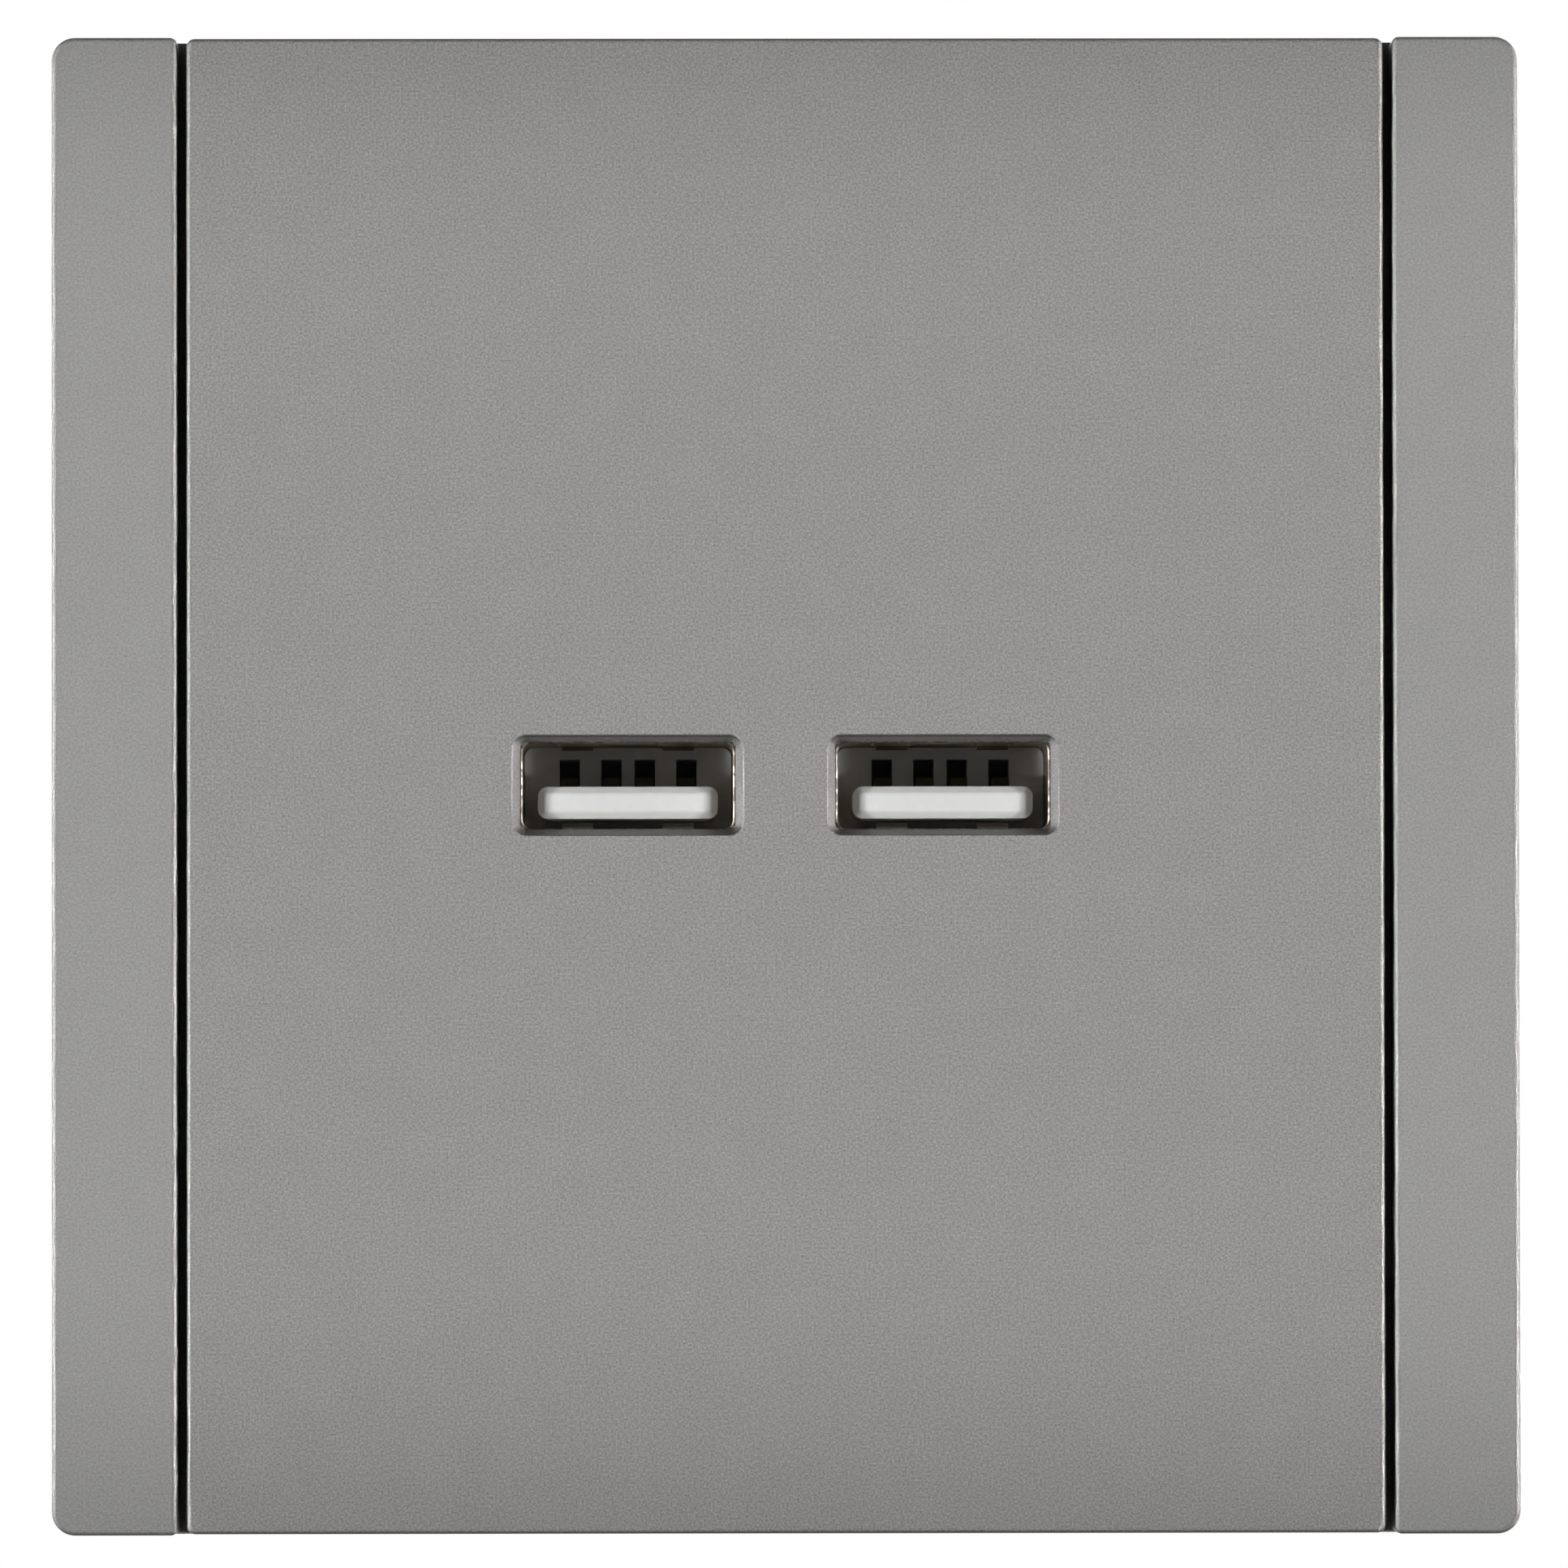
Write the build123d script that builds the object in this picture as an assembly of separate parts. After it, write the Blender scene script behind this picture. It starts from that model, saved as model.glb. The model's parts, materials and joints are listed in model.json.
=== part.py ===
from build123d import *
import os

# A two-port USB wall socket. Sizes are in millimetres, X runs right, Y into the wall, Z up.
# The origin is the middle of the plate on the wall plane, and the front face is at negative Y.

# Front plates
cover_width = 71.0
cover_height = 88.66
cover_wall = 2.0
cover_skirt = 1.6
cover_corner = 0.5
cover_rib_height = 1.0
cover_rib_width = 1.2
cover_rib_pitch = 11.0
cover_edge = 0.3
guide_proud = 0.18
guide_length = 3.4
guide_setback = 2.2
face_depth = 9.5
groove_width = 0.55
strip_width = 7.45
strip_edge = 0.32
strip_corner = 0.4
frame_overlength = 0.07
frame_corner = 1.4
frame_wall = 1.8
bed_depth = 4.5
strip_rib_count = 5
strip_rib_wall = 1.2
window_margin = 1.2
pad_size = 5.0

# Port openings in the cover
port_pitch = 18.7
mouth_width = 12.78
mouth_height = 5.2
mouth_corner = 0.3
bevel_side = 0.45
bevel_end = 0.375
bevel_depth = 1.25
bevel_corner = 0.85
port_rim_edge = 0.12
port_wall = 1.4
shell_pocket_gap = 0.35
shell_mouth_gap = 0.1

# Support ring and its wall box fixings, 60 mm apart
ring_thickness = 1.2
ring_corner = 6.0
fixing_spacing = 60.0
fixing_slot_width = 3.6
fixing_slot_length = 6.0
fixing_margin = 2.5
fixing_head_room = 4.0
fixing_head_width = 10.0

# Snap hooks of the cover
hook_thickness = 1.2
hook_width = 5.0
hook_spacing = 20.0
hook_flange_gap = 0.8
hook_barb = 0.8
hook_barb_height = 1.9
hook_gap = 0.15

# Case of the insert
case_width = 46.0
case_height = 42.0
case_corner = 13.0
case_wall = 1.6
case_depth = 32.0
case_ledge = 1.0
cap_wall = 1.5
cap_gap = 0.2
flange_side = 2.0
flange_end = 5.4
flange_thickness = 1.4
flange_corner = 3.0
spigot_wall = 1.2
spigot_gap = 0.2
ring_gap = 0.4
ear_radius = 2.3
ear_depth = 9.0
ear_inset = 9.0
ear_setout = 2.8
screw_shank = 2.2
screw_head = 4.2
screw_head_height = 1.5
screw_length = 9.0
screw_gap = 0.05
driver_hole = 4.4
post_diameter = 4.0
post_inset = 2.5
post_spacing_z = 17.0

# USB receptacles
shell_width = 12.5
shell_height = 5.12
shell_sheet = 0.3
shell_corner = 0.6
shell_length = 13.9
shell_edge = 0.08
finger_width = 1.85
finger_spacing = 6.0
finger_reach = 0.39
finger_length = 5.6
finger_setback = 1.4
finger_slit = 0.3
shell_leg_width = 1.8
shell_leg_length = 2.4
insulator_gap = 0.06
insulator_back = 5.0
tongue_width = 10.7
tongue_thickness = 1.9
tongue_top = -0.04
tongue_setback = 0.3
tongue_corner = 0.6
tongue_bevel = 0.42
tongue_round = 0.3
contact_slot_width = 1.22
contact_slot_height = 1.82
contact_groove = 0.5
contact_inner_spacing = 2.0
contact_outer_spacing = 7.0
contact_width = 1.0
contact_sheet = 0.25
contact_bow = 0.6
contact_tip_setback = 1.6
contact_bow_setback = 4.0
contact_tail = 0.5
pin_projection = 0.8
pin_gap = 0.2

# Boards and what joins them
board_thickness = 1.6
board_spacing = 4.5
usb_board_side_gap = 1.0
usb_board_end_gap = 3.0
usb_board_corner = 8.0
power_board_gap = 0.4
link_block_gap = 0.96
link_pitch = 2.54
link_pin = 0.64
link_count = 4

# Parts on the USB board
controller_length = 5.0
controller_width = 4.0
controller_height = 1.6
output_capacitor_diameter = 6.3
output_capacitor_height = 7.7
output_edge_gap = 1.35
output_spacing = 17.0

# Parts on the power board
bulk_capacitor_diameter = 8.0
bulk_capacitor_height = 12.5
bulk_wall_gap = 1.6
bulk_choke_gap = 1.35
bulk_spacing = 10.0
can_edge = 0.5
can_groove = 0.3
choke_diameter = 6.5
choke_waist = 4.2
choke_height = 9.0
choke_lip = 1.2
choke_side_gap = 3.55
choke_end_gap = 2.55
film_length = 12.5
film_width = 5.0
film_height = 10.5
film_wall_gap = 1.35
film_fuse_gap = 0.95
fuse_diameter = 7.5
fuse_height = 8.0
fuse_block_gap = 1.1
fuse_end_gap = 1.45
disc_diameter = 7.0
disc_thickness = 3.2
disc_stand = 0.8
disc_edge = 0.8
varistor_wall_gap = 2.4
varistor_film_gap = 1.2
safety_x = -6.5
top_row_gap = 1.2
bridge_width = 6.5
bridge_length = 8.0
bridge_height = 2.6
bridge_side_gap = 3.95
bridge_end_gap = 4.0
chip_edge = 0.25
switching_width = 4.0
switching_length = 6.0
switching_height = 1.7
switching_link_gap = 1.68
diode_width = 5.0
diode_length = 3.0
diode_height = 2.3
diode_x = 4.5

# Transformer
core_width = 15.0
core_length = 13.0
core_height = 5.5
core_limb = 3.4
core_yoke = 2.2
core_window = 2.9
bobbin_wall = 0.5
bobbin_gap = 0.1
bobbin_rise = 2.0
bobbin_foot = 2.0
winding_corner = 1.2
transformer_row_gap = 0.5

# Terminals: a captive screw draws a cage up to a fixed bar
pole_pitch = 6.0
block_height = 13.4
block_wall = 1.1
block_front_wall = 1.68
block_case_gap = 0.1
cage_width = 4.2
cage_length = 5.0
cage_wall = 0.8
cage_nut_wall = 1.4
cage_opening = 4.6
cage_standoff = 0.8
cage_travel = 1.8
cage_gap = 0.12
bar_thickness = 0.8
bar_width = 2.2
bar_clearance = 1.2
bar_leg_gap = 0.2
clamp_screw = 2.4
clamp_screw_gap = 0.05
clamp_head = 3.8
clamp_head_height = 1.8
clamp_head_gap = 0.15
clamp_slot_width = 0.7
clamp_slot_depth = 0.9
clamp_tip_gap = 0.1
clamp_shelf = 0.8
clamp_access = 3.2
wire_entry_width = 3.2
wire_entry_height = 3.0
wire_funnel = 0.5

# Levels along Y
face_y = -face_depth
cover_back_y = face_y + cover_wall
bed_y = -bed_depth
ring_front_y = -ring_thickness
port_back_y = face_y + port_wall
shell_mouth_y = port_back_y + shell_mouth_gap
usb_board_front_y = shell_mouth_y + shell_length
usb_board_back_y = usb_board_front_y + board_thickness
power_board_front_y = usb_board_back_y + board_spacing
power_board_back_y = power_board_front_y + board_thickness
insulator_y = usb_board_front_y - insulator_back
cap_front_y = cover_back_y + cap_gap
cap_back_y = cap_front_y + cap_wall
flange_y = ring_front_y - flange_thickness

# Sizes that follow from the ones above
frame_width = cover_width + 2 * (groove_width + strip_width)
frame_height = cover_height + 2 * frame_overlength
channel_width = cover_width + 2 * groove_width
flange_width = case_width + 2 * flange_side
flange_height = case_height + 2 * flange_end
hook_x = flange_width / 2 + hook_flange_gap
window_width = 2 * (hook_x + hook_thickness + window_margin)
window_height = flange_height + 2 * (window_margin + hook_flange_gap)
ring_size = fixing_spacing + fixing_slot_length + 2 * fixing_margin
case_inner_width = case_width - 2 * case_wall
case_inner_height = case_height - 2 * case_wall
case_inner_corner = case_corner - case_wall
spigot_width = case_inner_width - 2 * spigot_gap
spigot_height = case_inner_height - 2 * spigot_gap
spigot_corner = case_inner_corner - spigot_gap
ear_z = case_height / 2 + ear_setout
ear_spacing = case_width - 2 * ear_inset
bore_width = spigot_width - 2 * spigot_wall
bore_height = spigot_height - 2 * spigot_wall
usb_board_width = bore_width - 2 * usb_board_side_gap
usb_board_height = bore_height - 2 * usb_board_end_gap
deep_width = case_inner_width - 2 * case_ledge
deep_height = case_inner_height - 2 * case_ledge
deep_corner = case_inner_corner - case_ledge
tongue_bottom = tongue_top - tongue_thickness
port_centres = (-port_pitch / 2, port_pitch / 2)
pole_centres = (-pole_pitch / 2, pole_pitch / 2)
contact_spacings = (contact_outer_spacing, contact_inner_spacing)
contact_places = [side * spacing / 2 for spacing in contact_spacings for side in (-1, 1)]

# Levels and places inside the terminals
cage_floor_y = power_board_back_y + cage_standoff
wire_floor_y = cage_floor_y + cage_wall
nut_y = wire_floor_y + cage_opening
cage_top_y = nut_y + cage_nut_wall
bar_top_y = nut_y - bar_clearance
bar_y = bar_top_y - bar_thickness
clamp_tip_y = bar_top_y + clamp_tip_gap
shelf_y = cage_top_y + cage_travel + cage_gap
clamp_head_y = shelf_y + clamp_shelf
clamp_end_y = clamp_head_y + clamp_head_height
block_back_y = power_board_back_y + block_height
block_bottom_z = -deep_height / 2 + block_case_gap
pole_z = block_bottom_z + block_front_wall + cage_gap + cage_length / 2
cage_bottom_z = pole_z - cage_length / 2
cage_top_z = pole_z + cage_length / 2
bar_leg_z = cage_top_z + bar_leg_gap
chamber_top_z = bar_leg_z + bar_thickness + cage_gap
chamber_bottom_z = cage_bottom_z - cage_gap
block_top_z = chamber_top_z + block_wall
chamber_width = cage_width + 2 * cage_gap
block_width = pole_pitch + chamber_width + 2 * block_wall

# Places of the parts on the boards, set out from the walls and from each other
link_row_z = block_top_z + link_block_gap + link_pin / 2
output_row_z = usb_board_height / 2 - output_edge_gap - output_capacitor_diameter / 2
switching_z = link_row_z + link_pin / 2 + switching_link_gap + switching_width / 2
top_row_z = deep_height / 2 - top_row_gap - disc_thickness / 2
transformer_z = top_row_z - disc_thickness / 2 - transformer_row_gap - core_length / 2
choke_x = choke_side_gap + choke_diameter / 2 - deep_width / 2
choke_z = choke_end_gap + choke_diameter / 2 - deep_height / 2
bulk_x = bulk_wall_gap + bulk_capacitor_diameter / 2 - deep_width / 2
bulk_bottom_z = choke_z + choke_diameter / 2 + bulk_choke_gap + bulk_capacitor_diameter / 2
fuse_x = block_width / 2 + fuse_block_gap + fuse_diameter / 2
fuse_z = fuse_end_gap + fuse_diameter / 2 - deep_height / 2
film_x = deep_width / 2 - film_wall_gap - film_length / 2
film_z = fuse_z + fuse_diameter / 2 + film_fuse_gap + film_width / 2
varistor_x = deep_width / 2 - varistor_wall_gap - disc_diameter / 2
varistor_z = film_z + film_width / 2 + varistor_film_gap + disc_thickness / 2
bridge_x = deep_width / 2 - bridge_side_gap - bridge_width / 2
bridge_z = deep_height / 2 - bridge_end_gap - bridge_length / 2


def layer(outline, front, back):
    """An outline seen from the front, made solid between two depths."""
    return extrude(Plane.XZ.offset(-back) * outline, amount=back - front)


def side_strip(profile, centre_x, width):
    """A profile drawn in depth and height, made solid across a width."""
    return extrude(Plane.YZ.offset(centre_x - width / 2) * profile, amount=width)


def copies(outline, places):
    """The same outline at several places, as one sketch."""
    return Sketch() + [place * outline for place in places]


def four_places(spacing_x, spacing_z):
    """Four points at the corners of a rectangle about the middle."""
    return GridLocations(spacing_x, spacing_z, 2, 2)


def upright(place):
    """A place in a front view, as a place in the room."""
    return Pos(place.position.X, 0, place.position.Y)


def front_face(piece):
    """The face nearest to the room."""
    return piece.faces().sort_by(Axis.Y)[0]


def cover_plate():
    outline = RectangleRounded(cover_width, cover_height, cover_corner)
    body = layer(outline, face_y, bed_y)
    body = fillet(front_face(body).edges(), cover_edge)
    inner_width = cover_width - 2 * cover_skirt
    inner_height = cover_height - 2 * cover_skirt
    body -= layer(Rectangle(inner_width, inner_height), cover_back_y, bed_y)
    body += cover_ribs(inner_width, inner_height)
    for side in (-1, 1):
        body += cover_guides(side)
    for centre in port_centres:
        body -= port_cut(centre)
    rims = [edge for rim in front_face(body).inner_wires() for edge in rim.edges()]
    body = fillet(rims, port_rim_edge)
    for side in (-1, 1):
        for hook_z in (-hook_spacing / 2, hook_spacing / 2):
            body += cover_hook(side, hook_z)
    return body


def cover_ribs(inner_width, inner_height):
    """Stiffening ribs behind the plate, above and below the insert."""
    rib_back_y = cover_back_y + cover_rib_height
    field = (inner_height - case_height) / 2
    count = int(inner_width / cover_rib_pitch)
    ribs = Sketch()
    for side in (-1, 1):
        centre_z = side * (case_height + field) / 2
        rib = Rectangle(cover_rib_width, field)
        ribs += Pos(0, centre_z) * copies(rib, GridLocations(cover_rib_pitch, 1, count, 1))
        ribs += Pos(0, centre_z) * Rectangle(inner_width, cover_rib_width)
    return layer(ribs, cover_back_y, rib_back_y)


def cover_guides(side):
    """Low ribs at the ends of the skirt that centre the plate between the strips."""
    guide_x = side * (cover_width + guide_proud - cover_skirt) / 2
    end_z = (cover_height - guide_length) / 2 - cover_corner
    rib = Pos(guide_x, 0) * Rectangle(cover_skirt + guide_proud, guide_length)
    return layer(copies(rib, GridLocations(1, 2 * end_z, 1, 2)), face_y + guide_setback, bed_y)


def port_cut(centre):
    """A bevelled mouth through the plate, with a pocket behind it for the metal shell."""
    mouth = Pos(centre, 0) * RectangleRounded(mouth_width, mouth_height, mouth_corner)
    rim_width = mouth_width + 2 * bevel_side
    rim_height = mouth_height + 2 * bevel_end
    rim = Pos(centre, 0) * RectangleRounded(rim_width, rim_height, bevel_corner)
    bevel_ends = [Plane.XZ.offset(face_depth) * rim, Plane.XZ.offset(face_depth - bevel_depth) * mouth]
    bevel = loft(bevel_ends, ruled=True)
    pocket_width = shell_width + 2 * (shell_sheet + shell_pocket_gap)
    pocket_height = shell_height + 2 * (shell_sheet + shell_pocket_gap)
    pocket = Pos(centre, 0) * RectangleRounded(pocket_width, pocket_height, shell_corner + shell_sheet)
    return bevel + layer(mouth, face_y, cover_back_y) + layer(pocket, port_back_y, cover_back_y)


def cover_hook(side, hook_z):
    """A leg that passes through the ring, with a barb that catches behind it."""
    inner_x = side * hook_x
    outer_x = side * (hook_x + hook_thickness)
    barb_x = side * (hook_x - hook_barb)
    catch_y = hook_gap
    tip_y = catch_y + hook_barb_height
    profile = Polyline(
        (inner_x, cover_back_y),
        (inner_x, catch_y),
        (barb_x, catch_y),
        (inner_x, tip_y),
        (outer_x, tip_y),
        (outer_x, cover_back_y),
        close=True,
    )
    return extrude(Plane.XY.offset(hook_z - hook_width / 2) * make_face(profile), amount=hook_width)


def surround_frame():
    outline = RectangleRounded(frame_width, frame_height, frame_corner)
    channel = Rectangle(channel_width, 2 * frame_height)
    strips = layer(outline - channel, face_y, bed_y)
    inner_corners = strips.edges().filter_by(Axis.Y).group_by(lambda edge: abs(edge.center().X))[0]
    strips = fillet(inner_corners, strip_corner)
    front_edges = strips.faces().filter_by(Plane.XZ).sort_by(Axis.Y)[:2].edges()
    strips = fillet(front_edges, strip_edge)
    body = layer(outline, bed_y, 0) + strips
    body -= frame_hollow()
    body -= layer(frame_window(), bed_y, 0)
    body += frame_pads()
    return body


def frame_hollow():
    """The open back of the moulding: under the bed and up inside each strip."""
    bed_back_y = bed_y + frame_wall
    inner = RectangleRounded(frame_width - 2 * frame_wall, frame_height - 2 * frame_wall, frame_corner / 2)
    hollow = layer(inner, bed_back_y, 0)
    core_width_x = strip_width - 2 * frame_wall
    core_height = frame_height - 2 * frame_wall
    core = Rectangle(core_width_x, core_height)
    rib_pitch = core_height / (strip_rib_count + 1)
    core -= copies(Rectangle(core_width_x, strip_rib_wall), GridLocations(1, rib_pitch, 1, strip_rib_count))
    strip_x = (channel_width + strip_width) / 2
    both = copies(core, GridLocations(2 * strip_x, 1, 2, 1))
    return hollow + layer(both, face_y + frame_wall, bed_back_y)


def frame_window():
    """The opening round the insert, with room for the heads of the fixing screws."""
    notch_reach = fixing_spacing + 2 * fixing_head_room
    opening = Rectangle(window_width, window_height)
    opening += Rectangle(notch_reach, fixing_head_width)
    opening += Rectangle(fixing_head_width, notch_reach)
    return opening


def frame_pads():
    """Pads near the corners of the window that stand on the ring."""
    pad_x = (window_width + pad_size) / 2
    pad_z = (window_height + pad_size) / 2
    pads = copies(Rectangle(pad_size, pad_size), four_places(2 * pad_x, 2 * pad_z))
    return layer(pads, bed_y, ring_front_y)


def support_ring():
    outline = RectangleRounded(ring_size, ring_size, ring_corner)
    window_corner = spigot_corner + ring_gap
    outline -= RectangleRounded(spigot_width + 2 * ring_gap, spigot_height + 2 * ring_gap, window_corner)
    slot = SlotOverall(fixing_slot_length, fixing_slot_width)
    outline -= copies(slot, GridLocations(fixing_spacing, 1, 2, 1))
    outline -= copies(Rot(0, 0, 90) * slot, GridLocations(1, fixing_spacing, 1, 2))
    hook_slot_inner = hook_x - hook_gap
    hook_slot_outer = hook_x + hook_thickness + hook_barb + hook_gap
    hook_slot = Rectangle(hook_slot_outer - hook_slot_inner, hook_width + 2 * hook_gap)
    outline -= copies(hook_slot, four_places(hook_slot_outer + hook_slot_inner, hook_spacing))
    outline -= copies(Circle(screw_shank / 2 + screw_gap), four_places(ear_spacing, 2 * ear_z))
    return layer(outline, ring_front_y, 0)


def insert_front_cover():
    cap = layer(RectangleRounded(case_width, case_height, case_corner), cap_front_y, flange_y)
    cap = chamfer(front_face(cap).edges(), cap_wall / 3)
    inside = RectangleRounded(case_width - 2 * cap_wall, case_height - 2 * cap_wall, case_corner - cap_wall)
    cap -= layer(inside, cap_back_y, flange_y)
    flange = RectangleRounded(flange_width, flange_height, flange_corner)
    flange -= copies(Circle(screw_shank / 2 + screw_gap), four_places(ear_spacing, 2 * ear_z))
    spigot = RectangleRounded(spigot_width, spigot_height, spigot_corner)
    bore = RectangleRounded(bore_width, bore_height, spigot_corner - spigot_wall)
    body = cap + layer(flange - bore, flange_y, ring_front_y)
    body += layer(spigot - bore, ring_front_y, power_board_front_y)
    post_spacing_x = usb_board_width - 2 * post_inset
    posts = copies(Circle(post_diameter / 2), four_places(post_spacing_x, post_spacing_z))
    body += layer(posts, cap_back_y, usb_board_front_y)
    opening_width = shell_width + 2 * (shell_sheet + shell_pocket_gap)
    opening_height = shell_height + 2 * (shell_sheet + shell_pocket_gap)
    openings = copies(Rectangle(opening_width, opening_height), GridLocations(port_pitch, 1, 2, 1))
    return body - layer(openings, cap_front_y, cap_back_y)


def insert_rear_housing():
    floor_y = case_depth - case_wall
    body = layer(RectangleRounded(case_width, case_height, case_corner), 0, case_depth)
    back_edges = body.faces().sort_by(Axis.Y)[-1].edges()
    body = fillet(back_edges, case_wall / 2)
    wide = RectangleRounded(case_inner_width, case_inner_height, case_inner_corner)
    body -= layer(wide, 0, power_board_back_y)
    body -= layer(RectangleRounded(deep_width, deep_height, deep_corner), power_board_back_y, floor_y)
    body += housing_ears()
    driver_holes = Pos(0, pole_z) * copies(Circle(driver_hole / 2), GridLocations(pole_pitch, 1, 2, 1))
    body -= layer(driver_holes, floor_y, case_depth)
    for centre in pole_centres:
        body -= wire_way(centre, -case_height / 2, -deep_height / 2)
    return body


def housing_ears():
    """Screw bosses on the top and bottom walls, with the pilot holes of the case screws."""
    wall_z = case_height / 2 - case_wall
    ear_length = ear_z - wall_z
    web = Rectangle(2 * ear_radius, ear_length)
    ears = copies(web, four_places(ear_spacing, 2 * wall_z + ear_length))
    ears += copies(Circle(ear_radius), four_places(ear_spacing, 2 * ear_z))
    ears -= copies(Circle(screw_shank / 2 + screw_gap), four_places(ear_spacing, 2 * ear_z))
    return layer(ears, 0, ear_depth)


def wire_way(centre, outer_z, inner_z):
    """A straight way for a wire, flared at its outer end, through a wall below the terminals."""
    middle_y = wire_floor_y + wire_entry_height / 2
    opening = Pos(centre, middle_y) * Rectangle(wire_entry_width, wire_entry_height)
    flared_width = wire_entry_width + 2 * wire_funnel
    flared_height = wire_entry_height + 2 * wire_funnel
    flare = Pos(centre, middle_y) * Rectangle(flared_width, flared_height)
    straight = extrude(Plane.XY.offset(outer_z) * opening, amount=inner_z - outer_z)
    funnel_ends = [Plane.XY.offset(outer_z) * flare, Plane.XY.offset(outer_z + wire_funnel) * opening]
    return straight + loft(funnel_ends, ruled=True)


def insert_screws():
    """Four pan head screws through the flange and the ring into the ears."""
    head_y = flange_y - screw_head_height
    head = layer(Circle(screw_head / 2), head_y, flange_y)
    head = chamfer(front_face(head).edges(), screw_head_height / 3)
    shank = layer(Circle(screw_shank / 2), flange_y, flange_y + screw_length)
    drive = layer(Rectangle(screw_head, screw_shank / 4), head_y, head_y + screw_head_height / 2)
    screw = head + shank - drive
    return [upright(place) * screw for place in four_places(ear_spacing, 2 * ear_z)]


def usb_shell(centre):
    """A folded sheet tube with spring fingers cut from its top and bottom walls."""
    outer_width = shell_width + 2 * shell_sheet
    outer_height = shell_height + 2 * shell_sheet
    section = RectangleRounded(outer_width, outer_height, shell_corner + shell_sheet)
    section -= RectangleRounded(shell_width, shell_height, shell_corner)
    body = layer(section, shell_mouth_y, usb_board_front_y)
    body = chamfer(front_face(body).inner_wires()[0].edges(), shell_edge)
    window_width_x = finger_width + 2 * finger_slit
    windows = copies(Rectangle(window_width_x, 2 * outer_height), GridLocations(finger_spacing, 1, 2, 1))
    window_y = shell_mouth_y + finger_setback
    body -= layer(windows, window_y, window_y + finger_length)
    for finger_x in (-finger_spacing / 2, finger_spacing / 2):
        for side in (-1, 1):
            body += shell_finger(finger_x, side)
    leg_x = (shell_width + shell_sheet) / 2
    legs = copies(Rectangle(shell_sheet, shell_leg_width), GridLocations(2 * leg_x, 1, 2, 1))
    body += layer(legs, usb_board_front_y, usb_board_front_y + shell_leg_length)
    return Pos(centre, 0, 0) * body


def shell_finger(finger_x, side):
    """One spring finger, rooted at the back of its window and bent into the mouth."""
    wall_z = side * (shell_height + shell_sheet) / 2
    inward_z = wall_z - side * finger_reach
    window_y = shell_mouth_y + finger_setback
    root_y = window_y + finger_length
    bend_y = window_y + finger_length / 4
    tip_y = window_y + finger_slit
    path = Polyline((root_y + finger_slit, wall_z), (root_y, wall_z), (bend_y, inward_z), (tip_y, wall_z))
    return side_strip(trace(path, shell_sheet), finger_x, finger_width)


def usb_insulator(centre):
    """The moulded body: a back wall with contact slots, and the tongue that stands out of it."""
    back_width = shell_width - 2 * insulator_gap
    back_height = shell_height - 2 * insulator_gap
    body = layer(RectangleRounded(back_width, back_height, shell_corner), insulator_y, usb_board_front_y)
    tongue_y = shell_mouth_y + tongue_setback
    middle_z = (tongue_top + tongue_bottom) / 2
    tongue = layer(RectangleRounded(tongue_width, tongue_thickness, tongue_corner), tongue_y, insulator_y)
    tongue = chamfer(front_face(tongue).edges(), tongue_bevel)
    tongue = fillet(front_face(tongue).edges(), tongue_round)
    body += Pos(0, 0, middle_z) * tongue
    groove_y = shell_mouth_y + contact_tip_setback - contact_sheet
    floor_z = tongue_top - contact_groove
    slot_top_z = tongue_top + contact_slot_height
    slot_height = slot_top_z - floor_z
    groove = Pos(0, floor_z + contact_groove / 2) * Rectangle(contact_slot_width, contact_groove)
    slot = Pos(0, floor_z + slot_height / 2) * Rectangle(contact_slot_width, slot_height)
    for contact_x in contact_places:
        body -= layer(Pos(contact_x, 0) * groove, groove_y, insulator_y)
        body -= layer(Pos(contact_x, 0) * slot, insulator_y, usb_board_front_y)
    return Pos(centre, 0, 0) * body


def usb_contacts(centre):
    """Four spring strips that rise out of the tongue's grooves, with tails through the board."""
    rest_z = contact_rest_z()
    bow_z = tongue_top + contact_bow - contact_sheet / 2
    tip_y = shell_mouth_y + contact_tip_setback
    bow_y = shell_mouth_y + contact_bow_setback
    path = Polyline((usb_board_front_y, rest_z), (insulator_y, rest_z), (bow_y, bow_z), (tip_y, rest_z))
    strip = side_strip(trace(path, contact_sheet), 0, contact_width)
    tail = Pos(0, rest_z) * Rectangle(contact_tail, contact_sheet)
    strip += layer(tail, usb_board_front_y, usb_board_back_y + pin_projection)
    return [Pos(centre + contact_x, 0, 0) * strip for contact_x in contact_places]


def contact_rest_z():
    """The height of a contact where it lies on the floor of its groove."""
    return tongue_top - contact_groove + contact_sheet


def usb_board():
    outline = RectangleRounded(usb_board_width, usb_board_height, usb_board_corner)
    tail_hole = Circle(contact_tail / 2 + pin_gap)
    leg_slot = Rectangle(shell_sheet + 2 * pin_gap, shell_leg_width + 2 * pin_gap)
    for centre in port_centres:
        for contact_x in contact_places:
            outline -= Pos(centre + contact_x, contact_rest_z()) * tail_hole
        outline -= Pos(centre, 0) * copies(leg_slot, GridLocations(shell_width + shell_sheet, 1, 2, 1))
    outline -= copies(Circle(link_pin / 2 + pin_gap), link_places())
    return layer(outline, usb_board_front_y, usb_board_back_y)


def link_places():
    """Where the pins between the two boards stand."""
    return [Pos(0, link_row_z) * place for place in GridLocations(link_pitch, 1, link_count, 1)]


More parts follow.
